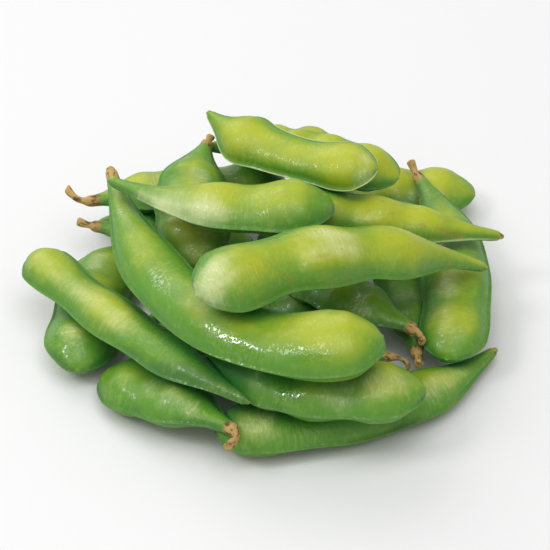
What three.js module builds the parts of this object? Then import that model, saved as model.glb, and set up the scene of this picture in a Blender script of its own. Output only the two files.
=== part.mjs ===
// A heap of boiled edamame pods, lying loose on a flat surface.
//
// Millimetres, +Z up. The origin is on the surface, under the middle of the heap.
// Every pod is one closed solid, as it grew: a short dry stalk, a tapering neck, a flattened
// body that swells over each bean, a raised seam down both edges, and a blunt end with a beak.
// The pods are laid one by one, from the lowest to the highest. Each has its place and
// direction on the table by hand, and comes down until it rests on what lies beneath it.

import * as THREE from 'three';

const degrees = THREE.MathUtils.degToRad;
const { clamp, lerp, smoothstep } = THREE.MathUtils;

// ---- What all pods share, mm ----------------------------------------------------------
const THICKNESS_SHARE = 0.71; // a pod's thickness over a bean, as a share of its width
const NECK_RADIUS = 1.15; // where the body meets the stalk
const CALYX_RADIUS = 1.2; // the dry collar on the neck
const STALK_RADIUS = 0.75;
const STALK_END_RADIUS = 0.9; // the scar where the stalk broke off the plant
const STALK_SHARES = [1, 0.62, 0.3, 0.1]; // where its rings are, from the end to the calyx
const NIB_LENGTH = 1.4; // what is left on a pod that has lost its stalk
const NIB_RADII = [0.4, 0.62, 0.82, 0.98];
const SEAM_HEIGHT = 0.45; // how far the seam stands out of each edge
const BEAK_LENGTH = 0.3; // the small point on the blunt end
const BLUNT = 0.6; // length of the part that rounds off, as a share of the width
const BETWEEN_BEANS = 0.62; // thickness between two beans, as a share of that over a bean
const LENS = 1.2; // over 1 gives the section sharper edges than an ellipse's
const FIRST_BEAN = 0.72; // where the first bean lies, as a share of the taper
const LAST_BEAN = 0.95; // how far back the last one lies, as a share of the part that rounds off
const BEAN_REACH = 0.4; // how far a bean swells the pod each way, as a share of their spacing
const LARGEST_REACH = 0.136; // as a share of the pod's length
const STRAIGHT = 0.45; // the taper is this much a straight cone, and the rest of it an easy curve
const THINNER_NECK = 1.15; // over 1, the neck thickens later than it widens

// ---- How finely a pod is faceted --------------------------------------------------------
// Round a section, in degrees from the front seam. Two points flank each seam, and the two
// that flank each face's middle give the pod a narrow flat to lie on.
const HALF_SECTION = [0, 13, 42, 74, 106, 138, 167];
const SECTION = [...HALF_SECTION, ...HALF_SECTION.map((a) => a + 180)].map(degrees);
const LONG_RINGS = 13; // along the body
const END_RINGS = 6; // round its blunt end
const LAST_TURN = 83; // how far round the end the last ring is, degrees

// ---- How the heap settles -------------------------------------------------------------
const GAP = 0.3; // kept between two pods, mm
const PRESS = 0.5; // how far a soft pod flattens where it lies on the table, mm
const CELL = 0.25; // spacing of the height map, mm
const REACH = 75; // the height map runs this far each way from the origin, mm
const PITCH_FREEDOM = 4; // how far a pod may tip from its given pitch, degrees either way
const ROLL_FREEDOM = 8; // how far it may roll from its given roll
const FIRST_STEP = 4; // degrees
const LAST_STEP = 0.25;
const MOVES = [[1, 0], [-1, 0], [0, 1], [0, -1], [1, 1], [1, -1], [-1, 1], [-1, -1]]; // tip, roll
const SETTLED = 1e-4; // a move that lowers the pod by less than this doesn't count, mm

// ---- The pods, from the lowest to the highest ------------------------------------------
// at: the middle of the pod, x and y. heading: from the stalk end to the blunt end, degrees
// anticlockwise from +X. pitch: how far the blunt end is raised. roll: about its own length.
// bend: how far the pod turns along its length, anticlockwise; with a hook over 1 it turns
// more towards the blunt end. arch: how far it bows up out of its own plane. taper: the share
// of the length over which it widens from the neck. slim: how wide it is towards the stalk end,
// as a share of the blunt end. waist: the width between two beans, as a share of that over a
// bean. stalk: the length of the dry stalk, which turns aside by its curl and rises by its lift.
// girth: the stalk's thickness against the usual. Lengths are in mm and angles in degrees. What
// a pod doesn't give is as in PLAIN.
const PLAIN = {
  pitch: 0, roll: 0, bend: 0, hook: 1, arch: 0, slim: 1, waist: 0.9,
  stalk: 0, curl: 0, lift: 0, girth: 1,
};
const PODS = [
  // on the table
  {
    name: 'pod_front_right', at: [18.5, -15], heading: -157, pitch: 1, roll: -10,
    length: 61, width: 12.5, beans: 3, taper: 0.35, bend: -50,
  },
  {
    name: 'pod_left', at: [-31.5, 10], heading: -101,
    length: 43, width: 14, beans: 3, taper: 0.3, bend: 25,
  },
  {
    name: 'pod_back_left', at: [-18, 28], heading: -6,
    length: 33, width: 11.5, beans: 2, taper: 0.35, bend: 10, stalk: 4, curl: 10,
  },
  {
    name: 'pod_front_left', at: [-18, -20.5], heading: 140, pitch: -7, roll: -6,
    length: 34, width: 14.5, beans: 2, taper: 0.55, bend: 12, stalk: 5, curl: 50,
  },
  {
    name: 'pod_under_right', at: [29, 8.5], heading: 96,
    length: 31, width: 10.5, beans: 2, taper: 0.45, bend: 6, stalk: 3.5,
  },
  {
    name: 'pod_back_right', at: [26.5, 44.5], heading: -3,
    length: 38, width: 14, beans: 3, taper: 0.4, bend: -20,
  },
  {
    name: 'pod_right', at: [34.6, 16.5], heading: -87, pitch: -6,
    length: 56, width: 13, beans: 3, taper: 0.42, waist: 0.94, bend: -38, stalk: 4, lift: 20,
  },
  {
    name: 'pod_under_middle', at: [-3.5, 8.5], heading: 2,
    length: 37, width: 12, beans: 3, taper: 0.4, bend: -12,
  },
  {
    name: 'pod_under_centre', at: [3.5, -7.5], heading: 179,
    length: 44, width: 12, beans: 3, taper: 0.4, bend: -6, stalk: 5, curl: 50, girth: 0.65,
  },
  {
    name: 'pod_back', at: [-17, 41.5], heading: 12,
    length: 35, width: 12, beans: 3, taper: 0.4, bend: -14,
  },
  {
    name: 'pod_inner_back', at: [14, 31.5], heading: -173,
    length: 30, width: 11, beans: 2, taper: 0.4, bend: 10,
  },
  // over those
  {
    name: 'pod_centre_low', at: [10.5, -20], heading: -13, roll: 8,
    length: 43, width: 14.5, beans: 3, taper: 0.35, bend: 46,
  },
  {
    name: 'pod_left_long', at: [-24.6, -6.4], heading: 134, pitch: 2, roll: -14,
    length: 62, width: 10, beans: 3, taper: 0.35, waist: 0.8, bend: -12,
  },
  {
    name: 'pod_back_left_high', at: [-15, 36.4], heading: 10, pitch: 3, roll: 4,
    length: 41, width: 12.5, beans: 3, taper: 0.3, bend: -15, stalk: 6, curl: 45, lift: 10,
  },
  {
    name: 'pod_over_right', at: [16.5, 4], heading: 148, pitch: 4, roll: -6,
    length: 31, width: 12.5, beans: 3, taper: 0.4, stalk: 4, curl: 30,
  },
  {
    name: 'pod_inner_cross', at: [12, 25.5], heading: 99,
    length: 28, width: 12.5, beans: 2, taper: 0.3, bend: -10,
  },
  {
    name: 'pod_back_over', at: [3.5, 42.3], heading: 6, pitch: -2,
    length: 28, width: 12, beans: 3, taper: 0.35, bend: -14,
  },
  {
    name: 'pod_behind_left', at: [-11.5, 25], heading: -91, pitch: -13,
    length: 31, width: 14.5, beans: 3, taper: 0.36, bend: 40, stalk: 2,
  },
  // over the second layer
  {
    name: 'pod_centre_long', at: [-3.9, 3.9], heading: -44.5, pitch: -2, roll: 14,
    length: 85, width: 16, beans: 3, taper: 0.42, slim: 0.79, bend: 96, hook: 1.9, stalk: 1.2,
  },
  {
    name: 'pod_thin_right', at: [27.5, 19], heading: -177, pitch: 10,
    length: 42, width: 10.5, beans: 3, taper: 0.5, bend: -12, arch: 10,
  },
  {
    name: 'pod_back_top', at: [13.6, 33.3], heading: -15, pitch: -2,
    length: 30, width: 12, beans: 3, taper: 0.3, bend: -10,
  },
  // on top
  {
    name: 'pod_middle_right', at: [16, -5.6], heading: -153.5, pitch: 11, roll: -6,
    length: 65, width: 14.3, beans: 3, taper: 0.4, waist: 0.8, bend: 25, arch: 25,
  },
  {
    name: 'pod_top', at: [6.5, 30.2], heading: -29, pitch: -3, roll: 28,
    length: 39, width: 11, beans: 2, taper: 0.28, slim: 1.1, waist: 0.78, bend: 45, hook: 0.7,
  },
  {
    name: 'pod_upper_left', at: [-7.5, 16.8], heading: -13, pitch: -1, roll: 6,
    length: 46, width: 14.5, beans: 2, taper: 0.62, waist: 0.86, bend: 44,
  },
];

// One pod's widths and centre line, in its own frame: +X from the stalk end to the blunt
// end, +Y across the flat face, +Z out of the upper face. The middle of its chord is at 0.
class Pod {
  constructor(given) {
    Object.assign(this, PLAIN, given);
    this.blunt = BLUNT * (this.width / this.length); // share of the length that rounds off
    const first = this.taper * FIRST_BEAN;
    const last = 1 - this.blunt * LAST_BEAN;
    this.spacing = (last - first) / Math.max(1, this.beans - 1);
    this.beanAt = Array.from({ length: this.beans }, (_, i) => first + i * this.spacing);
  }

  // 1 over a bean and 0 between two
  bean(u) {
    const reach = Math.min(this.spacing * BEAN_REACH, LARGEST_REACH);
    return Math.max(...this.beanAt.map((c) => Math.exp(-(((u - c) / reach) ** 2))));
  }

  // How far the pod has opened out of its neck, 0 to 1
  opened(u) {
    const x = clamp(u / this.taper, 0, 1);
    return lerp(0.5 - 0.5 * Math.cos(Math.PI * x), x, STRAIGHT);
  }

  // Half the pod's width over a bean there, but for its ends
  fullWidth(u) {
    return (this.width / 2) * lerp(this.slim, 1, smoothstep(u, this.taper, 1 - this.blunt));
  }

  // How far it is from closing at the blunt end, 1 to 0
  closing(u) {
    const x = clamp((u - 1 + this.blunt) / this.blunt, 0, 1);
    return Math.sqrt(1 - x * x);
  }

  halfWidth(u) {
    const wide = this.fullWidth(u) * lerp(this.waist, 1, this.bean(u));
    return lerp(NECK_RADIUS, wide, this.opened(u)) * this.closing(u);
  }

  halfThickness(u) {
    const swell = lerp(BETWEEN_BEANS, 1, this.bean(u));
    const thick = this.fullWidth(u) * THICKNESS_SHARE * swell;
    return lerp(NECK_RADIUS, thick, this.opened(u) ** THINNER_NECK) * this.closing(u);
  }

  // The centre line from the neck to the blunt end, as points with their directions
  centreLine(steps = 600) {
    const line = [];
    const at = new THREE.Vector3();
    for (let i = 0; i <= steps; i++) {
      const u = i / steps;
      const turn = degrees(this.bend) * (u ** this.hook - 0.5);
      const dip = -degrees(this.arch) * (u - 0.5);
      const along = new THREE.Vector3(Math.cos(turn), Math.sin(turn), 0);
      along.multiplyScalar(Math.cos(dip)).setZ(Math.sin(dip));
      line.push({ at: at.clone(), along });
      at.addScaledVector(along, this.length / steps);
    }
    const chord = line[steps].at.clone();
    const level = new THREE.Quaternion();
    level.setFromUnitVectors(chord.clone().normalize(), new THREE.Vector3(1, 0, 0));
    for (const point of line) {
      point.at.addScaledVector(chord, -0.5).applyQuaternion(level);
      point.along.applyQuaternion(level);
    }
    return line;
  }

  // A closed ring of points round the centre line
  ring(at, along, halfWidth, halfThickness, seam) {
    const up = new THREE.Vector3(0, 0, 1);
    const across = new THREE.Vector3().crossVectors(up, along).normalize();
    const out = new THREE.Vector3().crossVectors(along, across);
    return SECTION.map((angle) => {
      const c = Math.cos(angle);
      const s = Math.sin(angle);
      const onSeam = Math.abs(s) < 1e-6;
      const w = halfWidth * c + (onSeam ? Math.sign(c) * seam : 0);
      const lens = lerp(1, LENS, clamp(seam / SEAM_HEIGHT, 0, 1));
      const n = halfThickness * Math.sign(s) * Math.abs(s) ** lens;
      return at.clone().addScaledVector(across, w).addScaledVector(out, n);
    });
  }

  // The stalk's rings, from its cut end to the calyx: a share of its length, and a radius
  stalkShape() {
    const stalk = [STALK_END_RADIUS, STALK_RADIUS, STALK_RADIUS, CALYX_RADIUS];
    const radii = this.stalk ? stalk.map((radius) => radius * this.girth) : NIB_RADII;
    return STALK_SHARES.map((share, i) => [share, radii[i]]);
  }

  // The shares of the length at which the body has its rings
  bodyShares() {
    const shares = [];
    for (let k = 0; k < LONG_RINGS; k++) {
      shares.push(((k + 0.5) / LONG_RINGS) * (1 - this.blunt));
    }
    for (let k = 1; k <= END_RINGS; k++) {
      const round = Math.sin(degrees((LAST_TURN * k) / END_RINGS));
      shares.push(1 - this.blunt + this.blunt * round);
    }
    return shares;
  }

  rings() {
    const line = this.centreLine();
    const rings = [];
    // the stalk curls in the pod's plane and out of it
    const length = this.stalk || NIB_LENGTH;
    const from = line[0];
    for (const [share, radius] of this.stalkShape()) {
      const turn = -degrees(this.curl) * share;
      const rise = degrees(this.lift) * share;
      const along = from.along.clone().applyAxisAngle(new THREE.Vector3(0, 0, 1), turn);
      const side = new THREE.Vector3(0, 0, 1).cross(along).normalize();
      along.applyAxisAngle(side, rise);
      const at = from.at.clone().addScaledVector(along, -length * share);
      rings.push(this.ring(at, along, radius, radius, 0));
    }
    for (const u of this.bodyShares()) {
      const { at, along } = line[Math.round(u * (line.length - 1))];
      const seam = SEAM_HEIGHT * smoothstep(u, 0.02, 0.25) * this.closing(u);
      rings.push(this.ring(at, along, this.halfWidth(u), this.halfThickness(u), seam));
    }
    return rings;
  }

  geometry() {
    const rings = this.rings();
    const line = this.centreLine();
    const end = line[line.length - 1];
    const points = rings.flat();
    const cut = new THREE.Vector3();
    for (const p of rings[0]) cut.addScaledVector(p, 1 / SECTION.length);
    const beak = end.at.clone().addScaledVector(end.along, BEAK_LENGTH);
    points.push(cut, beak);
    const [cutIndex, beakIndex] = [points.length - 2, points.length - 1];
    const n = SECTION.length;
    const faces = [];
    for (let j = 0; j < n; j++) {
      const next = (j + 1) % n;
      faces.push(cutIndex, next, j);
      for (let r = 0; r + 1 < rings.length; r++) {
        const [a, b, c, d] = [r * n + j, r * n + next, (r + 1) * n + next, (r + 1) * n + j];
        faces.push(a, b, c, a, c, d);
      }
      faces.push(beakIndex, (rings.length - 1) * n + j, (rings.length - 1) * n + next);
    }
    const geometry = new THREE.BufferGeometry();
    const coordinates = points.flatMap((p) => p.toArray());
    geometry.setAttribute('position', new THREE.Float32BufferAttribute(coordinates, 3));
    geometry.setIndex(faces);
    return geometry;
  }
}

// The height, over the table, of the top of everything laid so far.
class HeightMap {
  constructor() {
    this.size = Math.ceil((2 * REACH) / CELL);
    this.top = new Float32Array(this.size * this.size).fill(-Infinity);
  }

  // Calls visit with the index and height of each cell under a triangle
  under(a, b, c, visit) {
    const area = (b.x - a.x) * (c.y - a.y) - (c.x - a.x) * (b.y - a.y);
    if (Math.abs(area) < 1e-9) return;
    const cell = (v) => Math.floor((v + REACH) / CELL);
    const [x0, x1] = [cell(Math.min(a.x, b.x, c.x)), cell(Math.max(a.x, b.x, c.x)) + 1];
    const [y0, y1] = [cell(Math.min(a.y, b.y, c.y)), cell(Math.max(a.y, b.y, c.y)) + 1];
    for (let iy = y0; iy <= y1; iy++) {
      const y = iy * CELL - REACH;
      for (let ix = x0; ix <= x1; ix++) {
        const x = ix * CELL - REACH;
        const v = ((x - a.x) * (c.y - a.y) - (c.x - a.x) * (y - a.y)) / area;
        const w = ((b.x - a.x) * (y - a.y) - (x - a.x) * (b.y - a.y)) / area;
        if (v < 0 || w < 0 || v + w > 1) continue;
        visit(iy * this.size + ix, a.z + v * (b.z - a.z) + w * (c.z - a.z));
      }
    }
  }

  triangles(points, index, visit) {
    for (let i = 0; i < index.length; i += 3) {
      this.under(points[index[i]], points[index[i + 1]], points[index[i + 2]], visit);
    }
  }

  // How far points must rise to clear the table and all that lies on it
  lift(points, index) {
    let need = -Infinity;
    for (const p of points) need = Math.max(need, -p.z - PRESS);
    this.triangles(points, index, (cell, z) => {
      need = Math.max(need, this.top[cell] + GAP - z);
    });
    return need;
  }

  // Adds a pod that has come to rest, a cell wider than it is, so that steep sides stay clear
  add(points, index) {
    this.triangles(points, index, (cell, z) => {
      for (const dy of [-this.size, 0, this.size]) {
        for (const dx of [-1, 0, 1]) {
          this.top[cell + dy + dx] = Math.max(this.top[cell + dy + dx], z);
        }
      }
    });
  }
}

// Lets one pod down on the heap. It tips and rolls, a little less at each step, to where its
// middle lies lowest, and stays there.
function settle(pod, geometry, heights) {
  const index = geometry.index.array;
  const position = geometry.getAttribute('position');
  const points = [];
  for (let i = 0; i < position.count; i++) {
    points.push(new THREE.Vector3().fromBufferAttribute(position, i));
  }
  const turned = (pitch, roll) =>
    new THREE.Euler(degrees(roll), degrees(-pitch), degrees(pod.heading), 'ZYX');
  const placed = (pitch, roll, z) => {
    const matrix = new THREE.Matrix4().makeRotationFromEuler(turned(pitch, roll));
    matrix.setPosition(...pod.at, z);
    return points.map((p) => p.clone().applyMatrix4(matrix));
  };
  const height = (pitch, roll) => heights.lift(placed(pitch, roll, 0), index);
  let [pitch, roll] = [pod.pitch, pod.roll];
  let lowest = height(pitch, roll);
  for (let step = FIRST_STEP; step >= LAST_STEP; step /= 2) {
    for (let moved = true; moved; ) {
      moved = false;
      for (const [tip, turn] of MOVES) {
        const [p, r] = [pitch + tip * step, roll + turn * step];
        if (Math.abs(p - pod.pitch) > PITCH_FREEDOM) continue;
        if (Math.abs(r - pod.roll) > ROLL_FREEDOM) continue;
        const z = height(p, r);
        if (z < lowest - SETTLED) {
          [pitch, roll, lowest, moved] = [p, r, z, true];
        }
      }
    }
  }
  heights.add(placed(pitch, roll, lowest), index);
  return { rotation: turned(pitch, roll), z: lowest, pitch, roll };
}

// Presses what is below the table's surface flat on it
function flattenUnder(mesh) {
  mesh.updateMatrix();
  const back = mesh.matrix.clone().invert();
  const position = mesh.geometry.getAttribute('position');
  const p = new THREE.Vector3();
  for (let i = 0; i < position.count; i++) {
    p.fromBufferAttribute(position, i).applyMatrix4(mesh.matrix);
    if (p.z >= 0) continue;
    p.setZ(0).applyMatrix4(back);
    position.setXYZ(i, p.x, p.y, p.z);
  }
}

const skin = new THREE.MeshStandardMaterial({ color: 0x86a832, roughness: 0.4, metalness: 0 });

const heap = new THREE.Group();
const heights = new HeightMap();
for (const given of PODS) {
  const pod = new Pod(given);
  const geometry = pod.geometry();
  const rest = settle(pod, geometry, heights);
  const mesh = new THREE.Mesh(geometry, skin);
  mesh.name = pod.name;
  mesh.position.set(...pod.at, rest.z);
  mesh.rotation.copy(rest.rotation);
  flattenUnder(mesh);
  heap.add(mesh);
}

// the origin goes under the middle of the heap
const middle = new THREE.Box3().setFromObject(heap, true).getCenter(new THREE.Vector3());
for (const mesh of heap.children) mesh.position.sub(middle.setZ(0));

export default heap;
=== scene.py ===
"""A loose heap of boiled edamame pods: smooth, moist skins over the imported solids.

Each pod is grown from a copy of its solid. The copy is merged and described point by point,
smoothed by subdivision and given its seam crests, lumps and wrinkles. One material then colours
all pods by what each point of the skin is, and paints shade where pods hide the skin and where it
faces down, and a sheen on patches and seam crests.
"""

import math

import bmesh
import bpy
import numpy as np
from bpy.props import FloatProperty, FloatVectorProperty, IntProperty, PointerProperty
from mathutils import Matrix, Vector, noise
from mathutils.bvhtree import BVHTree


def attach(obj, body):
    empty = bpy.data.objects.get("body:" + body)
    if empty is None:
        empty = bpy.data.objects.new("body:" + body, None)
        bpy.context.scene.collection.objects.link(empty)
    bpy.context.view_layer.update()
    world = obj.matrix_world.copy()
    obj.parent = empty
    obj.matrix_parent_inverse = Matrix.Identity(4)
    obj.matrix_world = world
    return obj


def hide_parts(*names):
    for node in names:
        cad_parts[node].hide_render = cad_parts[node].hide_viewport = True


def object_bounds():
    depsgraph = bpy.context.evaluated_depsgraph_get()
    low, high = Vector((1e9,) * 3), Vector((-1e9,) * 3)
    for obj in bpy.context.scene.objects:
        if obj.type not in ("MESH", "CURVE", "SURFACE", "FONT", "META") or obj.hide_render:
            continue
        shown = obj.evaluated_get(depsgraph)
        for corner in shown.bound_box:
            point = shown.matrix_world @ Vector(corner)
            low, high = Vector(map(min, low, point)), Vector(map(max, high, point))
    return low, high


bl_info = {
    "name": "Edamame Heap",
    "version": (1, 0, 0),
    "blender": (4, 5, 0),
    "location": "View3D > Sidebar > Pods",
    "description": "Builds a heap of boiled edamame pods over its packed solids",
    "category": "Object",
}

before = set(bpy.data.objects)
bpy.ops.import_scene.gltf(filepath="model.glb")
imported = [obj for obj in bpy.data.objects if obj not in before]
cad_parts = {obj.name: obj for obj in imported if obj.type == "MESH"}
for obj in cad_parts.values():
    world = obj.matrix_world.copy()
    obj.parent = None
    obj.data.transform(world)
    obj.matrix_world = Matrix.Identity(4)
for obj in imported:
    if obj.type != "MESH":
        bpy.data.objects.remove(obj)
CAD_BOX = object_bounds()
MM = 0.001

# ---- What the solids are made of -----------------------------------------------------

SECTION_POINTS = 14  # points round each ring of a pod's solid
SECTION_ANGLES = (0, 13, 42, 74, 106, 138, 167)  # degrees round from a seam, for half a ring
FACE_POINT = 3  # the ring's point that stands for the middle of a broad face
STALK_RINGS = 4  # rings of the dry stalk, before the green body starts
MERGE = 0.001 * MM  # points this close are one

# ---- How the skin is read from them --------------------------------------------------

FLAT_RATIO = 0.47  # thickness over width where no bean lies
BEAN_RATIO = 0.24  # how much more it is over a bean
SLIM_END = 0.375  # a bean shows only where the pod has this share of its width, or more
CALYX_DRYNESS = 0.5  # how dry the ring is where the stalk meets the body
BEAK = 1.0  # how far the blunt end's last point stands past its last ring, mm
UNDERSIDE_SHADE = 0.25  # how much deeper the green of skin that faces straight down is
FIT_ROUNDS = 4  # times the coarse pod is corrected, so that its smooth skin keeps its size

RAYS = 28  # rays from each point, to find what hides it
RAY_LENGTH = 22 * MM
RAY_START = 0.1 * MM  # above the skin
FAR_WEIGHT = 0.5  # what a pod at the end of a ray counts, against one that touches

# ---- Relief of the skin, mm ----------------------------------------------------------

CREST_WIDTH = 0.30  # from the seam's middle to where its crest falls off
GROOVE_AT = 0.85  # from the seam's middle to the groove on each side
GROOVE_WIDTH = 0.35
GROOVE_DEPTH = 0.6  # against the crest's height
LUMP_SCALE = (0.13, 0.16, 0.16)  # bumps to a mm along the pod, across it and up
PATCH_SCALE = (0.10, 0.15, 0.15)
WRINKLE_SCALE = (0.85, 0.22, 0.22)
GNARL_SCALE = (0.5, 1.1, 1.1)
PATCH_SEED, WRINKLE_SEED, GNARL_SEED = 31, 57, 83
POD_SEED = 11.0  # from one pod's bumps to the next one's
PATTERN_STEP = 137.0  # from one pod's colours to the next one's, mm along the pattern

# ---- Patterns of the material --------------------------------------------------------

# How many to a mm along the pod, across it and up, then detail and roughness
PATTERNS = {
    "blotch": ((0.16, 0.22, 0.22), 3.0, 0.5),
    "fleck": ((0.7, 0.7, 0.7), 2.0, 0.6),
    "patch": ((0.12, 0.2, 0.2), 2.0, 0.5),
    "streak": ((1.7, 0.36, 0.36), 3.0, 0.65),
    "crackle": ((2.6, 1.2, 1.2), 2.0, 0.6),
    "grain": ((2.2, 2.2, 2.2), 2.0, 0.6),
    "blemish": ((0.35, 0.55, 0.55), 3.0, 0.65),
    "bark": ((0.5, 1.2, 1.2), 3.0, 0.65),
    "beads": ((2.4, 1.3, 1.3), 1.0, 0.5),
    "satin": ((0.13, 0.208, 0.208), 2.0, 0.5),
}
ATTRIBUTES = ("bean", "dry", "ripe", "wet", "sheen", "film", "spots", "crest", "shade")
BUMP_HEIGHT = 0.06 * MM

# ---- The stage, m --------------------------------------------------------------------

FLOOR_SIZE = 4
AIM = Vector((2.1, 1.4, 11.7)) * MM  # what the camera looks at
NEAREST = 0.01  # the camera sees nothing closer
# where each lamp is, and its size
LAMPS = {
    "key": ((-0.40, 0.60, 0.62), 0.75),
    "top": ((0.05, -0.25, 0.87), 0.7),
    "glint": ((-0.58, -0.22, 0.76), 0.28),
}

# ---- Looks of each pod ---------------------------------------------------------------

PLAIN = {
    "ripe": (0.4, 0.4, 0.4),
    "fine": False,
    "tip": 1.0,
    "wet": (),
    "sheen": (),
    "film": 0.45,
    "spots": 0.0,
    "crest": 0.03,
    "hidden": 1.0,
}

# ripe: how yellow a pod is at its stalk end, middle and blunt end. Under 0 it is a dark green.
# fine: seen well enough for a finer skin.
# tip: how dry and brown its stalk end is.
# wet: patches with specks of water. sheen: patches painted pale, a painted sheen where the skin
# shows a soft highlight.
# Each patch is a share of the length, degrees round from the left seam over the top, and a radius
# in mm.
# film: how pale the painted sheen of the sheen patches is.
# spots: how strong its ochre blemishes are.
# crest: how pale the painted highlight on the seam's crest is.
# hidden: how much the painted shade darkens the green where pods cover the skin.
PODS = {
    "pod_top": {
        "ripe": (0.75, 0.8, 1.0),
        "fine": True,
        "film": 0.5,
        "tip": 0.0,
        "crest": 0.7,
        "sheen": ((0.93, 80, 2.5), (0.95, 140, 2.5)),
    },
    "pod_back_top": {"ripe": (0.8, 0.85, 1.0), "tip": 0.3},
    "pod_upper_left": {
        "ripe": (0.35, 0.85, 0.3),
        "film": 0.85,
        "fine": True,
        "tip": 0.1,
        "sheen": ((0.16, 160, 2.0), (0.25, 162, 3.0), (0.35, 152, 3.8), (0.45, 142, 4.0)),
    },
    "pod_centre_long": {
        "ripe": (0.85, 0.35, 0.7),
        "fine": True,
        "wet": (
            (0.12, 99, 1.8),
            (0.17, 95, 1.3),
            (0.39, 100, 1.9),
            (0.43, 112, 1.5),
            (0.48, 130, 1.5),
            (0.65, 133, 2.2),
            (0.69, 140, 3.0),
            (0.72, 149, 2.2),
            (0.81, 140, 1.6),
            (0.85, 129, 2.2),
        ),
        "sheen": ((0.14, 90, 2.0), (0.62, 125, 2.5), (0.83, 52, 3.5), (0.89, 62, 3.5)),
    },
    "pod_middle_right": {
        "ripe": (1.0, 0.65, 0.5),
        "fine": True,
        "film": 0.75,
        "tip": 0.4,
        "spots": 0.5,
        "sheen": ((0.93, 100, 4.0), (0.98, 70, 4.0), (0.57, 90, 4.0), (0.51, 84, 3.5)),
    },
    "pod_thin_right": {
        "ripe": (0.9, 0.95, 0.8),
        "fine": True,
        "tip": 0.5,
        "spots": 1.0,
        "crest": 0.4,
    },
    "pod_left_long": {
        # Its stalk end is painted a dark green, as painted shade
        "ripe": (-0.8, 0.6, 0.6),
        "fine": True,
        "tip": 0.3,
        "sheen": ((0.90, 62, 2.5), (0.75, 75, 3.0), (0.62, 75, 3.5), (0.48, 78, 3.5)),
    },
    "pod_left": {
        "ripe": (0.5, 0.4, 0.3),
        "fine": True,
        "tip": 0.3,
        "wet": ((0.82, 133, 1.8), (0.93, 120, 1.5)),
        "sheen": ((0.3, 110, 3.0), (0.85, 110, 2.5)),
    },
    "pod_front_left": {
        "ripe": (0.4, 0.3, 0.2),
        "fine": True,
        "sheen": ((0.25, 65, 2.2), (0.40, 65, 2.8), (0.55, 70, 2.0)),
    },
    "pod_centre_low": {
        "ripe": (0.1, 0.4, 0.6),
        "fine": True,
        "tip": 0.3,
        "wet": ((0.42, 143, 2.2),),
        "sheen": ((0.63, 125, 3.2), (0.76, 105, 3.5), (0.87, 103, 3.0), (0.25, 120, 2.5)),
    },
    "pod_front_right": {
        "ripe": (0.7, 0.3, 0.6),
        "fine": True,
        "tip": 0.5,
        "sheen": ((0.86, 68, 4.0), (0.29, 62, 2.8), (0.20, 76, 2.5), (0.12, 87, 2.5)),
    },
    "pod_right": {
        "ripe": (0.5, 0.5, 0.5),
        "fine": True,
        "sheen": ((0.70, 120, 3.0), (0.86, 105, 3.0), (0.10, 98, 2.0)),
    },
    "pod_back_right": {"ripe": (0.5, 0.8, 0.8), "tip": 0.3, "hidden": 0.6},
    "pod_over_right": {"ripe": (0.3, 0.2, 0.2), "hidden": 0.5, "sheen": ((0.3, 45, 2.5),)},
    "pod_under_right": {"ripe": (0.1, 0.2, 0.2), "hidden": 0.6, "sheen": ((0.5, 90, 3.0),)},
    "pod_under_centre": {"ripe": (0.3, 0.3, 0.3)},
    "pod_under_middle": {"tip": 0.3},
    "pod_behind_left": {
        "ripe": (0.5, 0.5, 0.8),
        "fine": True,
        # Less painted shade than its place gives, and sheen patches: painted light on its blunt
        # end
        "hidden": 0.3,
        "sheen": ((0.35, 80, 3.0), (0.80, 75, 2.5), (0.90, 80, 2.5)),
    },
    "pod_back_left_high": {"ripe": (0.7, 0.7, 0.7), "sheen": ((0.3, 90, 3.0),)},
    "pod_back_left": {"ripe": (0.5, 0.4, 0.4)},
    "pod_back": {"tip": 0.3},
    "pod_back_over": {"ripe": (0.7, 0.7, 0.7), "tip": 0.3},
    "pod_inner_back": {"tip": 0.3},
    "pod_inner_cross": {"tip": 0.3},
}


# ---- Settings ------------------------------------------------------------------------


def colour(name, about, default):
    """A colour that a user can change."""
    return FloatVectorProperty(
        name=name, description=about, default=default, subtype="COLOR", size=3, min=0, max=1
    )


class SkinSettings(bpy.types.PropertyGroup):
    """Colours and relief of the pods' skin."""

    ripe: colour("Ripe", "Skin over a ripe bean", (0.36, 0.41, 0.007))
    green: colour("Green", "Skin of a greener pod", (0.10, 0.25, 0.009))
    # Painted shade: the darker green painted where skin faces down or faces other pods
    painted_shade: colour("Deep", "Skin that faces down or other pods", (0.015, 0.21, 0.035))
    # pale: the fuzz's own pale flecks, and a painted sheen on the fine wrinkles
    pale: colour("Pale", "Fine wrinkles and the seam's crest", (0.42, 0.52, 0.10))
    # Painted sheen: the pale colour painted on the sheen patches, and a painted highlight on the
    # seams' crests
    painted_sheen: colour("Frost", "Fuzz that holds a film of water", (0.62, 0.67, 0.34))
    seam: colour("Seam", "Both sides of a seam", (0.03, 0.11, 0.015))
    ochre: colour("Ochre", "Blemishes", (0.32, 0.20, 0.012))
    straw: colour("Straw", "A dry stalk", (0.43, 0.28, 0.09))
    bark: colour("Bark", "Darker parts of a dry stalk", (0.10, 0.05, 0.018))
    crest: FloatProperty(
        name="Seam crest", description="Height added to a seam, mm", default=0.10, min=0, max=0.5
    )
    wrinkle: FloatProperty(
        name="Wrinkles", description="Depth of the wrinkles, mm", default=0.035, min=0, max=0.3
    )
    lumps: FloatProperty(
        name="Lumps", description="Height of broad lumps, mm", default=0.22, min=0, max=1
    )
    gnarl: FloatProperty(
        name="Gnarl", description="Height of a dry stalk's knobs, mm", default=0.08, min=0, max=1
    )
    levels: IntProperty(
        name="Smoothness", description="Subdivisions of a plain pod", default=2, min=1, max=3
    )


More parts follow.
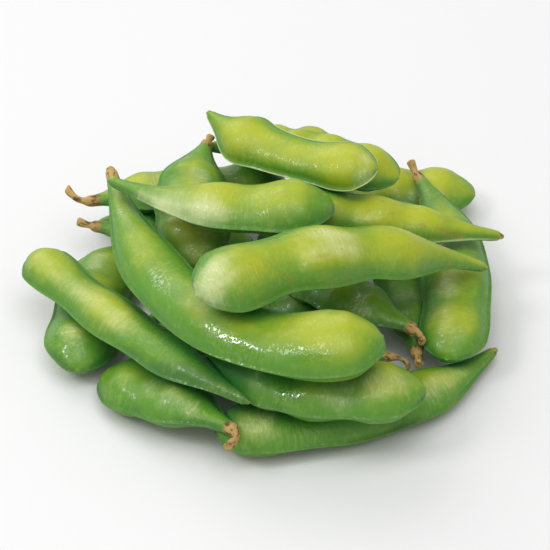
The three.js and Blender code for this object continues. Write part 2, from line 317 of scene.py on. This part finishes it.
class StageSettings(bpy.types.PropertyGroup):
    """The floor, the light and the camera."""

    floor: colour("Floor", "Colour of the floor", (0.70, 0.70, 0.70))
    key: FloatProperty(
        name="Key light", description="Power of the light from behind", default=3.6, unit="POWER"
    )
    top: FloatProperty(
        name="Top light", description="Power of the light from above", default=4.2, unit="POWER"
    )
    glint: FloatProperty(
        name="Glint light", description="Power of the small light", default=2.4, unit="POWER"
    )
    fill: FloatProperty(name="Fill", description="Strength of the light all round", default=0.55)
    elevation: FloatProperty(
        name="Elevation",
        description="Camera's height over the horizon",
        default=math.radians(40.5),
        subtype="ANGLE",
    )
    distance: FloatProperty(
        name="Distance", description="From camera to heap", default=0.45, unit="LENGTH"
    )
    width: FloatProperty(
        name="Width", description="Width of the picture at the heap", default=0.110, unit="LENGTH"
    )


# ---- Reading a pod's solid -----------------------------------------------------------


def ordered_ring(verts):
    """The vertices of one closed ring, in order round it."""
    left = set(verts)
    ring = [verts[0]]
    left.discard(verts[0])
    while left:
        near = [e.other_vert(ring[-1]) for e in ring[-1].link_edges]
        ring.append(next(v for v in near if v in left))
        left.discard(ring[-1])
    return ring


def next_ring(ring, done):
    """The ring after this one, in the same order round the pod."""
    ahead = [{e.other_vert(v) for e in v.link_edges} - done - set(ring) for v in ring]
    return [(ahead[i - 1] & ahead[i]).pop() for i in range(len(ring))]


def rings_from(pole, direction):
    """All rings from one pole to the other, with their points in line along the pod."""
    first = ordered_ring([e.other_vert(pole) for e in pole.link_edges])
    rings = [first[::direction]]
    done = {pole}
    while len(rings[-1][0].link_edges) > 4:
        ahead = {e.other_vert(v) for v in rings[-1] for e in v.link_edges}
        ahead -= done | set(rings[-1])
        if len(ahead) == 1:
            break
        ring = next_ring(rings[-1], done)
        done |= set(rings[-1])
        rings.append(ring)
    return rings


def stray(rings):
    """How far the lines along a pod wander, as a length."""
    return sum(
        (a.co - b.co).length for r, s in zip(rings, rings[1:]) for a, b in zip(r, s)
    )


def read_rings(mesh):
    """The vertex numbers of a pod's rings, from its stalk to its blunt end.

    Each ring starts at the seam on the left of the way the pod grows, and goes over the top.
    """
    shape = bmesh.new()
    shape.from_mesh(mesh)
    poles = [v for v in shape.verts if len(v.link_edges) == SECTION_POINTS]

    def thickness(pole):
        ring = rings_from(pole, 1)[1]
        middle = sum((v.co for v in ring), Vector()) / len(ring)
        return max((v.co - middle).length for v in ring)

    stalk_end = min(poles, key=thickness)
    rings = min((rings_from(stalk_end, d) for d in (1, -1)), key=stray)
    points = np.array([[v.co[:] for v in ring] for ring in rings])
    numbers = np.array([[v.index for v in ring] for ring in rings])
    shape.free()

    half = SECTION_POINTS // 2
    body = points[STALK_RINGS:]
    spans = np.linalg.norm(body[:, :half] - body[:, half:], axis=2).sum(axis=0)
    middles = body.mean(axis=1)
    along = np.gradient(middles, axis=0)
    left = np.cross((0, 0, 1), along)
    seam = int(spans.argmax())
    if ((body[:, seam] - middles) * left).sum() < 0:
        seam += half
    top = (seam + half // 2) % SECTION_POINTS
    step = 1 if body[:, top, 2].mean() > middles[:, 2].mean() else -1
    order = (seam + step * np.arange(SECTION_POINTS)) % SECTION_POINTS
    return numbers[:, order], points[:, order]


# ---- Modelling a pod -----------------------------------------------------------------


def only(item):
    """Deselects all and makes one object the selected and active one."""
    bpy.ops.object.select_all(action="DESELECT")
    item.select_set(True)
    bpy.context.view_layer.objects.active = item


def copy_of(node, name):
    """A free copy of a solid, with its own mesh, its loose triangles merged."""
    only(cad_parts[node])
    bpy.ops.object.duplicate()
    pod = bpy.context.object
    pod.name = pod.data.name = name
    pod.parent = None
    for key in list(pod.keys()):
        del pod[key]
    bpy.ops.object.mode_set(mode="EDIT")
    bpy.ops.mesh.select_all(action="SELECT")
    bpy.ops.mesh.remove_doubles(threshold=MERGE)
    bpy.ops.mesh.select_mode(type="EDGE")
    bpy.ops.mesh.select_all(action="DESELECT")
    bpy.ops.object.mode_set(mode="OBJECT")
    return pod


def dissolve_diagonals(pod, numbers):
    """Joins the triangles between two rings into the four-sided faces they came from."""
    ring_of, column_of = {}, {}
    for r, ring in enumerate(numbers):
        for c, vertex in enumerate(ring):
            ring_of[int(vertex)] = r
            column_of[int(vertex)] = c
    for edge in pod.data.edges:
        a, b = edge.vertices
        inside = a in ring_of and b in ring_of
        edge.select = inside and ring_of[a] != ring_of[b] and column_of[a] != column_of[b]
    bpy.ops.object.mode_set(mode="EDIT")
    bpy.ops.mesh.dissolve_edges(use_verts=False)
    bpy.ops.object.mode_set(mode="OBJECT")


def store(mesh, name, values):
    """Keeps one number or vector for each vertex, under a name that materials can read."""
    values = np.asarray(values, dtype=np.float32)
    kind, field = ("FLOAT", "value") if values.ndim == 1 else ("FLOAT_VECTOR", "vector")
    layer = mesh.attributes.new(name, kind, "POINT")
    layer.data.foreach_set(field, values.ravel())


def read(mesh, name):
    """The numbers or vectors that store kept."""
    layer = mesh.attributes[name]
    wide = layer.data_type == "FLOAT_VECTOR"
    values = np.empty(len(mesh.vertices) * (3 if wide else 1), dtype=np.float32)
    layer.data.foreach_get("vector" if wide else "value", values)
    return values.reshape(-1, 3) if wide else values


def vertex_places(mesh):
    """Where the vertices are, one row for each."""
    values = np.empty(len(mesh.vertices) * 3, dtype=np.float32)
    mesh.vertices.foreach_get("co", values)
    return values.reshape(-1, 3)


def all_solids():
    """Every solid of the heap as one tree, to find what hides a point of the skin."""
    points, faces = [], []
    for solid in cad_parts.values():
        start = len(points)
        points += [v.co.copy() for v in solid.data.vertices]
        faces += [[start + i for i in p.vertices] for p in solid.data.polygons]
    return BVHTree.FromPolygons(points, faces)


def hidden_share(tree, place, normal):
    """How much of what a point of the skin faces is pods nearby, 0 to 1."""
    across = normal.orthogonal().normalized()
    other = normal.cross(across)
    start = place + normal * RAY_START
    hidden = 0.0
    golden_turn = math.pi * (3 - math.sqrt(5))
    for i in range(RAYS):
        share = (i + 0.5) / RAYS
        turn = i * golden_turn
        flat = math.sqrt(share)
        way = across * (flat * math.cos(turn)) + other * (flat * math.sin(turn))
        way += normal * math.sqrt(1 - share)
        distance = tree.ray_cast(start, way, RAY_LENGTH)[3]
        if distance is not None:
            hidden += 1 - FAR_WEIGHT * distance / RAY_LENGTH
    return hidden / RAYS


def measure(points):
    """Each ring's distance along the body, half width and half thickness, in mm."""
    half = SECTION_POINTS // 2
    middles = points.mean(axis=1)
    steps = np.linalg.norm(np.diff(middles, axis=0), axis=1)
    along = np.concatenate([[0], np.cumsum(steps)]) / MM
    along -= along[STALK_RINGS]
    seams = points[:, 0] - points[:, half]
    faces = points[:, FACE_POINT] - points[:, FACE_POINT + half]
    width, thick = (np.linalg.norm(span, axis=1) / MM / 2 for span in (seams, faces))
    return along, width, thick


def straightened(along, width, thick, angle):
    """Where each point would be if the pod lay straight: along it, across it and up, in mm."""
    place = np.zeros((len(along), len(angle), 3))
    place[:, :, 0] = along[:, None]
    place[:, :, 1] = width[:, None] * np.cos(angle)
    place[:, :, 2] = thick[:, None] * np.sin(angle)
    return place


def bean_cover(width, thick):
    """1 where a ring goes round a bean, and 0 where the pod is flat or slim."""
    swell = np.clip((thick / width - FLAT_RATIO) / BEAN_RATIO, 0, 1)
    full = width / width.max()
    return swell * np.clip((full - SLIM_END) / (1 - SLIM_END), 0, 1)


def patch_cover(spots, place, share, along, width, thick):
    """1 in the middle of each patch of skin, falling to 0 round it."""
    cover = np.zeros(place.shape[:2])
    for at, turn, radius in spots:
        ring = np.abs(share - at).argmin()
        turn = math.radians(turn)
        across, up = width[ring] * math.cos(turn), thick[ring] * math.sin(turn)
        far = np.linalg.norm(place - (at * along[-1], across, up), axis=2)
        cover = np.maximum(cover, np.exp(-((far / radius) ** 2)))
    return cover


def spread(mesh, numbers, points, values, ends):
    """One value for each vertex, from one for each ring or ring point, and one for each end."""
    values = np.asarray(values, dtype=float)
    if values.ndim == 1:
        values = np.repeat(values[:, None], SECTION_POINTS, axis=1)
    out = np.zeros((len(mesh.vertices),) + values.shape[2:])
    out[numbers.ravel()] = values.reshape((-1,) + values.shape[2:])
    first, last = (Vector(ring.mean(axis=0)) for ring in (points[0], points[-1]))
    for vertex in set(range(len(mesh.vertices))) - set(numbers.ravel().tolist()):
        near = mesh.vertices[vertex].co
        at_stalk = (near - first).length < (near - last).length
        out[vertex] = ends[0] if at_stalk else ends[1]
    return out


def describe(pod, numbers, points, looks, tree, seed):
    """Stores, for each vertex of the coarse pod, where on the pod it is and how it looks."""
    mesh = pod.data
    along, width, thick = measure(points)
    share = np.clip(along / along[-1], 0, 1)
    angle = np.radians(SECTION_ANGLES)
    angle = np.concatenate([angle, angle + math.pi])
    place = straightened(along, width, thick, angle)

    def keep(name, values, ends):
        store(mesh, name, spread(mesh, numbers, points, values, ends))

    tips = ((along[0], 0, 0), (along[-1] + BEAK, 0, 0))
    pattern = np.array((seed * PATTERN_STEP, 0, 0))
    store(mesh, "place", spread(mesh, numbers, points, place, tips) + pattern)
    keep("edge", np.tile(np.cos(angle), (len(along), 1)), (0, 0))
    keep("bean", bean_cover(width, thick), (0, 0))

    dry = np.zeros(len(along))
    dry[:STALK_RINGS] = 1
    dry[STALK_RINGS] = CALYX_DRYNESS
    keep("dry", dry * looks["tip"], (1, 0))
    ripe = looks["ripe"]
    keep("ripe", np.interp(share, (0, 0.5, 1), ripe), (ripe[0], ripe[-1]))

    for name in ("wet", "sheen"):
        cover = patch_cover(looks[name], place, share, along, width, thick)
        keep(name, cover, (cover[0].mean(), cover[-1].mean()))
    for name in ("film", "spots", "crest"):
        store(mesh, name, np.full(len(mesh.vertices), looks[name]))
    # Painted shade: a darker green where rays from the skin meet other pods, and on skin that
    # faces down
    shade = np.array([hidden_share(tree, v.co, v.normal) for v in mesh.vertices])
    shade += UNDERSIDE_SHADE * np.clip([-v.normal.z for v in mesh.vertices], 0, 1)
    store(mesh, "shade", shade * looks["hidden"])


def smooth_skin(pod, levels):
    """Subdivides a coarse pod, so that its smooth skin still passes close to its points."""
    only(pod)
    skin = pod.modifiers.new("smooth skin", "SUBSURF")
    skin.levels = skin.render_levels = 1
    wanted = vertex_places(pod.data)
    cage = wanted.copy()
    for _ in range(FIT_ROUNDS):
        graph = bpy.context.evaluated_depsgraph_get()
        reached = pod.evaluated_get(graph).to_mesh()
        cage += wanted - vertex_places(reached)[: len(wanted)]
        pod.data.vertices.foreach_set("co", cage.ravel())
        pod.data.update()
    skin.levels = skin.render_levels = levels
    bpy.ops.object.modifier_apply(modifier=skin.name)
    bpy.ops.object.shade_smooth()


def bumps(place, scale, seed, octaves=1):
    """Smooth random heights, about -1 to 1, at points stretched by a scale on each axis."""
    total = np.zeros(len(place))
    for octave in range(octaves):
        size = 2.0**octave
        points = place * np.asarray(scale) * size + seed
        total += np.array([noise.noise(p) for p in points]) / size
    return total


def add_relief(pod, settings, seed):
    """Moves the fine skin in and out: seams, wrinkles, lumps and a gnarled dry stalk."""
    mesh = pod.data
    co = vertex_places(mesh)
    normals = np.empty(len(mesh.vertices) * 3, dtype=np.float32)
    mesh.vertices.foreach_get("normal", normals)
    normals = normals.reshape(-1, 3)
    place, edge, dry = read(mesh, "place"), read(mesh, "edge"), read(mesh, "dry")
    off = np.abs(place[:, 2])
    at_seam = np.clip(np.abs(edge) * 4 - 3, 0, 1)
    crest = np.exp(-((off / CREST_WIDTH) ** 2))
    groove = GROOVE_DEPTH * np.exp(-(((off - GROOVE_AT) / GROOVE_WIDTH) ** 2))
    height = settings.crest * (crest - groove) * at_seam
    lumps = bumps(place, LUMP_SCALE, seed, 2)
    height += settings.lumps * lumps * (1 - at_seam)
    patches = np.clip(bumps(place, PATCH_SCALE, seed + PATCH_SEED) * 2 + 0.5, 0, 1)
    fine = bumps(place, WRINKLE_SCALE, seed + WRINKLE_SEED)
    height += settings.wrinkle * fine * patches * (1 - at_seam)
    height *= 1 - dry
    height += dry * settings.gnarl * bumps(place, GNARL_SCALE, seed + GNARL_SEED, 2)
    co += normals * (height * MM)[:, None]
    co[:, 2] = np.maximum(co[:, 2], CAD_BOX[0].z)  # nothing sinks into the floor
    mesh.vertices.foreach_set("co", co.ravel())
    mesh.update()


# ---- Shader maths --------------------------------------------------------------------


class Value:
    """A number that varies over a surface. Arithmetic on it adds Math nodes."""

    def __init__(self, graph, socket):
        self.graph = graph
        self.socket = socket

    def math(self, operation, *others, clamp=False):
        """One Math node on this value and others."""
        settings = {"operation": operation, "use_clamp": clamp}
        sockets = dict(enumerate((self,) + others))
        return self.graph.number("ShaderNodeMath", settings, sockets)

    def __add__(self, other):
        return self.math("ADD", other)

    __radd__ = __add__

    def __sub__(self, other):
        return self.math("SUBTRACT", other)

    def __rsub__(self, other):
        return (self * -1) + other

    def __mul__(self, other):
        return self.math("MULTIPLY", other)

    __rmul__ = __mul__

    def __abs__(self):
        return self.math("ABSOLUTE")

    def clamped(self):
        """The same value, kept between 0 and 1."""
        return self.math("ADD", 0.0, clamp=True)

    def between(self, low, high):
        """0 at low and 1 at high, with a soft start and end."""
        sockets = {"Value": self, "From Min": low, "From Max": high}
        settings = {"interpolation_type": "SMOOTHSTEP"}
        return self.graph.number("ShaderNodeMapRange", settings, sockets)


class Graph:
    """The nodes of one material."""

    def __init__(self, name):
        self.material = bpy.data.materials.new(name)
        self.material.use_nodes = True
        self.nodes = self.material.node_tree.nodes
        self.links = self.material.node_tree.links
        self.nodes.clear()

    def add(self, kind, settings=None, sockets=None):
        """Adds a node, with its settings first and then the values or links of its sockets."""
        node = self.nodes.new(kind)
        for key, value in (settings or {}).items():
            setattr(node, key, value)
        for key, value in (sockets or {}).items():
            if isinstance(value, Value):
                self.links.new(value.socket, node.inputs[key])
            else:
                node.inputs[key].default_value = value
        return node

    def number(self, kind, settings=None, sockets=None, output=0):
        """Adds a node and gives one of its outputs as a value."""
        return Value(self, self.add(kind, settings, sockets).outputs[output])

    def attribute(self, name, output="Fac"):
        """What store kept for each vertex."""
        return self.number("ShaderNodeAttribute", {"attribute_name": name}, output=output)

    def mix(self, factor, a, b):
        """Colour a where the factor is 0, and b where it is 1."""
        sockets = {0: factor, 6: a, 7: b}
        return self.number("ShaderNodeMix", {"data_type": "RGBA"}, sockets, output=2)

    def pattern(self, place, scale, detail, roughness):
        """Noise with so many waves to a mm along a pod, across it and up."""
        sockets = {"Vector": place, "Scale": scale}
        stretched = self.number("ShaderNodeMapping", {"vector_type": "POINT"}, sockets)
        sockets = {"Vector": stretched, "Scale": 1.0, "Detail": detail, "Roughness": roughness}
        return self.number("ShaderNodeTexNoise", None, sockets)

    def finish(self, shader):
        """Sends a shader to the surface and gives the finished material."""
        out = self.add("ShaderNodeOutputMaterial")
        self.links.new(shader.outputs[0], out.inputs["Surface"])
        return self.material


def rgb(value):
    """A colour setting as a socket's four numbers."""
    return (*value, 1.0)


class Skin:
    """The values that the layers of the skin's material share."""

    def __init__(self, graph):
        place = graph.attribute("place", "Vector")
        parts = graph.add("ShaderNodeSeparateXYZ", None, {0: place})
        self.graph = graph
        self.edge = abs(graph.attribute("edge"))
        self.off_seam = abs(Value(graph, parts.outputs["Z"]))
        for name in ATTRIBUTES:
            setattr(self, name, graph.attribute(name))
        self.patterns = {name: graph.pattern(place, *how) for name, how in PATTERNS.items()}

        patterns = self.patterns
        # painted shade: where other pods hide the skin or it faces down
        self.painted_shade_cover = self.shade.between(0.15, 0.9)
        self.patch = patterns["patch"].between(0.42, 0.65)
        mottle = 0.7 * (patterns["blotch"] - 0.5) + 0.25 * (patterns["streak"] - 0.5)
        # where the sheen patches are, with ragged edges: a painted sheen in the colour, and real
        # relief and smoothness in the bump and roughness
        self.ragged = (self.sheen + mottle).between(0.15, 0.95)
        crackle = patterns["crackle"].between(0.4, 0.6)
        self.wrinkle = patterns["streak"].between(0.42, 0.66) * (0.45 + 0.55 * crackle)
        at_seam = self.edge.between(0.86, 0.97)
        # the seam's crest, where a highlight is painted
        self.ridge = (1 - self.off_seam.between(0.10, 0.42)) * at_seam
        self.flank = (1 - self.off_seam.between(0.3, 1.4)) * at_seam
        self.dried = (self.dry + 0.5 * (patterns["bark"] - 0.5)).between(0.3, 0.7)
        self.beaded = self.wet.between(0.15, 0.6)


def ripe_green(skin, colours):
    """Yellow over the beans and green between them, in blotches, with a darker green as painted
    shade where other pods hide the skin, where it faces down and along the seams.
    """
    mix, patterns, edge = skin.graph.mix, skin.patterns, skin.edge
    ripeness = skin.ripe + 0.65 * (skin.bean - 0.5) + 0.8 * (patterns["blotch"] - 0.5)
    ripeness = ripeness - 0.8 * edge * edge
    base = mix(ripeness.between(0.0, 1.0), rgb(colours.green), rgb(colours.ripe))
    base = mix((0 - ripeness).between(0.2, 0.8) * 0.7, base, rgb(colours.seam))
    base = mix(patterns["fleck"].between(0.5, 0.8) * 0.2, base, rgb(colours.pale))
    # Painted shade where pods hide the skin and where it faces down; the rim along the seams is
    # partly the pod's own greener edge and partly painted shade
    rim = edge.between(0.5, 1.0) * (0.22 - 0.22 * skin.crest)
    return mix(1 - (1 - skin.painted_shade_cover * 0.92) * (1 - rim), base, rgb(colours.painted_shade))


def with_painted_sheen(skin, colours, base):
    """Painted sheen: pale streaks over the fine wrinkles across the pod, and sheen patches
    painted pale where the skin shows a soft highlight.
    """
    mix = skin.graph.mix
    # Painted sheen: pale streaks over the fine wrinkles, only outside the painted shade
    base = mix(skin.patch * skin.wrinkle * (1 - skin.painted_shade_cover) * 0.2, base, rgb(colours.pale))
    # Painted highlight: the sheen patches painted pale, paler over the wrinkles
    painted_sheen = skin.ragged * (1 - (1 - skin.wrinkle) * (1 - skin.film)) * skin.film
    return mix(painted_sheen, base, rgb(colours.painted_sheen))


def blemished(skin, colours, base):
    """Ochre blemishes."""
    cover = skin.patterns["blemish"].between(0.56, 0.70) * skin.spots * 0.6
    return skin.graph.mix(cover, base, rgb(colours.ochre))


def seamed(skin, colours, base):
    """The seams: a dark line on both sides of a narrow crest, and a painted highlight along the
    crest.
    """
    base = skin.graph.mix(skin.flank * (0.3 - 0.3 * skin.crest), base, rgb(colours.seam))
    return skin.graph.mix(skin.ridge * skin.crest, base, rgb(colours.painted_sheen))


def stalked(skin, colours, base):
    """The dry stalk, straw with darker bark."""
    bark = skin.patterns["bark"].between(0.5, 0.64)
    stalk = skin.graph.mix(bark, rgb(colours.straw), rgb(colours.bark))
    return skin.graph.mix(skin.dried, base, stalk)


def fine_relief(skin):
    """The normal of relief that is too fine for the mesh."""
    grain, bark, beads = (skin.patterns[name] for name in ("grain", "bark", "beads"))
    relief = (skin.patch + skin.ragged) * skin.wrinkle * 0.9 + grain * 0.35
    relief = relief + skin.dried * bark * 2.0 + skin.beaded * beads * 3.0
    sockets = {"Height": relief, "Distance": BUMP_HEIGHT, "Strength": 1.0}
    return skin.graph.number("ShaderNodeBump", None, sockets)


def skin_roughness(skin):
    """Satin skin, smoother where it is wet and rougher at the seams and the stalk."""
    satin, grain = skin.patterns["satin"], skin.patterns["grain"]
    roughness = 0.46 - 0.3 * (satin - 0.5) + 0.12 * (grain - 0.5) - 0.08 * skin.ragged
    roughness = roughness + 0.3 * skin.dried + 0.25 * skin.flank - 0.25 * skin.beaded
    return roughness.clamped()


def skin_material(colours):
    """Boiled pod skin, its seams and its dry stalk, as one material."""
    graph = Graph("boiled pod skin")
    skin = Skin(graph)
    base = ripe_green(skin, colours)
    for layer in (with_painted_sheen, blemished, seamed, stalked):
        base = layer(skin, colours, base)
    # water, as specks that stay in the wrinkles
    specks = skin.patterns["beads"].between(0.54, 0.61) * (1 - skin.dried)
    sockets = {
        "Base Color": base,
        "Roughness": skin_roughness(skin),
        "Normal": fine_relief(skin),
        "Coat Weight": specks * (0.18 + 0.82 * skin.beaded),
        "Coat Roughness": 0.08,
        "Coat IOR": 1.9,
        "IOR": 1.5,
        "Specular IOR Level": 0.45,
        "Subsurface Weight": 0.2,
        "Subsurface Radius": (0.7, 1.0, 0.25),
        "Subsurface Scale": 1.4 * MM,
    }
    return graph.finish(graph.add("ShaderNodeBsdfPrincipled", None, sockets))


def floor_material(tint):
    """A plain matt floor."""
    graph = Graph("pale floor")
    sockets = {"Base Color": rgb(tint), "Roughness": 0.9}
    return graph.finish(graph.add("ShaderNodeBsdfPrincipled", None, sockets))


# ---- Operators -----------------------------------------------------------------------


class PODS_OT_pods(bpy.types.Operator):
    """Grow a smooth, coloured pod over each solid of the heap"""

    bl_idname = "pods.pods"
    bl_label = "Pods"

    def execute(self, context):
        settings = context.scene.pod_skin
        material = skin_material(settings)
        tree = all_solids()
        for seed, node in enumerate(PODS):
            looks = {**PLAIN, **PODS[node]}
            pod = copy_of(node, node + "_skin")
            numbers, points = read_rings(pod.data)
            dissolve_diagonals(pod, numbers)
            describe(pod, numbers, points, looks, tree, seed)
            smooth_skin(pod, settings.levels + (1 if looks["fine"] else 0))
            add_relief(pod, settings, seed * POD_SEED)
            pod.data.materials.clear()
            pod.data.materials.append(material)
            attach(pod, "root")
            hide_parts(node)
        return {"FINISHED"}


class PODS_OT_stage(bpy.types.Operator):
    """Add the floor, the lights and the camera"""

    bl_idname = "pods.stage"
    bl_label = "Stage"

    def execute(self, context):
        settings = context.scene.pod_stage
        self.add_floor(settings)
        self.add_camera(context, settings)
        for name, (place, size) in LAMPS.items():
            self.soft_light(name, place, size, getattr(settings, name))
        world = bpy.data.worlds.new("room")
        world.use_nodes = True
        sky = world.node_tree.nodes["Background"]
        sky.inputs["Color"].default_value = (1, 1, 1, 1)
        sky.inputs["Strength"].default_value = settings.fill
        context.scene.world = world
        context.scene.view_settings.view_transform = "Standard"
        return {"FINISHED"}

    def add_floor(self, settings):
        """A large plane under the heap."""
        bpy.ops.object.select_all(action="DESELECT")
        bpy.ops.mesh.primitive_plane_add(size=FLOOR_SIZE, location=(0, 0, CAD_BOX[0].z))
        floor = bpy.context.object
        floor.name = "floor"
        floor.data.materials.append(floor_material(settings.floor))

    def add_camera(self, context, settings):
        """A camera in front of the heap and above it."""
        tilt = settings.elevation
        back = Vector((0, -math.cos(tilt), math.sin(tilt)))
        place = AIM + back * settings.distance
        bpy.ops.object.camera_add(location=place, rotation=(math.pi / 2 - tilt, 0, 0))
        camera = context.object
        camera.data.lens = camera.data.sensor_width * settings.distance / settings.width
        camera.data.clip_start = NEAREST
        context.scene.camera = camera

    def soft_light(self, name, place, size, power):
        """A square light that points at the heap."""
        bpy.ops.object.light_add(type="AREA", location=place)
        light = bpy.context.object
        light.name = name
        light.data.energy = power
        light.data.size = size
        light.rotation_euler = (-Vector(place)).to_track_quat("-Z", "Y").to_euler()


class PODS_PT_panel(bpy.types.Panel):
    """Lists the steps that build the heap"""

    bl_label = "Edamame heap"
    bl_idname = "PODS_PT_panel"
    bl_space_type = "VIEW_3D"
    bl_region_type = "UI"
    bl_category = "Pods"

    def draw(self, context):
        for step in STEPS:
            self.layout.operator(step.bl_idname)
        for settings in (context.scene.pod_skin, context.scene.pod_stage):
            box = self.layout.box()
            for name in settings.bl_rna.properties.keys():
                if name not in ("rna_type", "name"):
                    box.prop(settings, name)


STEPS = (PODS_OT_pods, PODS_OT_stage)
CLASSES = (SkinSettings, StageSettings, *STEPS, PODS_PT_panel)


def register():
    for cls in CLASSES:
        bpy.utils.register_class(cls)
    bpy.types.Scene.pod_skin = PointerProperty(type=SkinSettings)
    bpy.types.Scene.pod_stage = PointerProperty(type=StageSettings)


def unregister():
    del bpy.types.Scene.pod_skin
    del bpy.types.Scene.pod_stage
    for cls in reversed(CLASSES):
        bpy.utils.unregister_class(cls)


def main():
    """Builds the pods and the stage."""
    register()
    bpy.ops.pods.pods()
    bpy.ops.pods.stage()


if __name__ == "__main__":
    main()
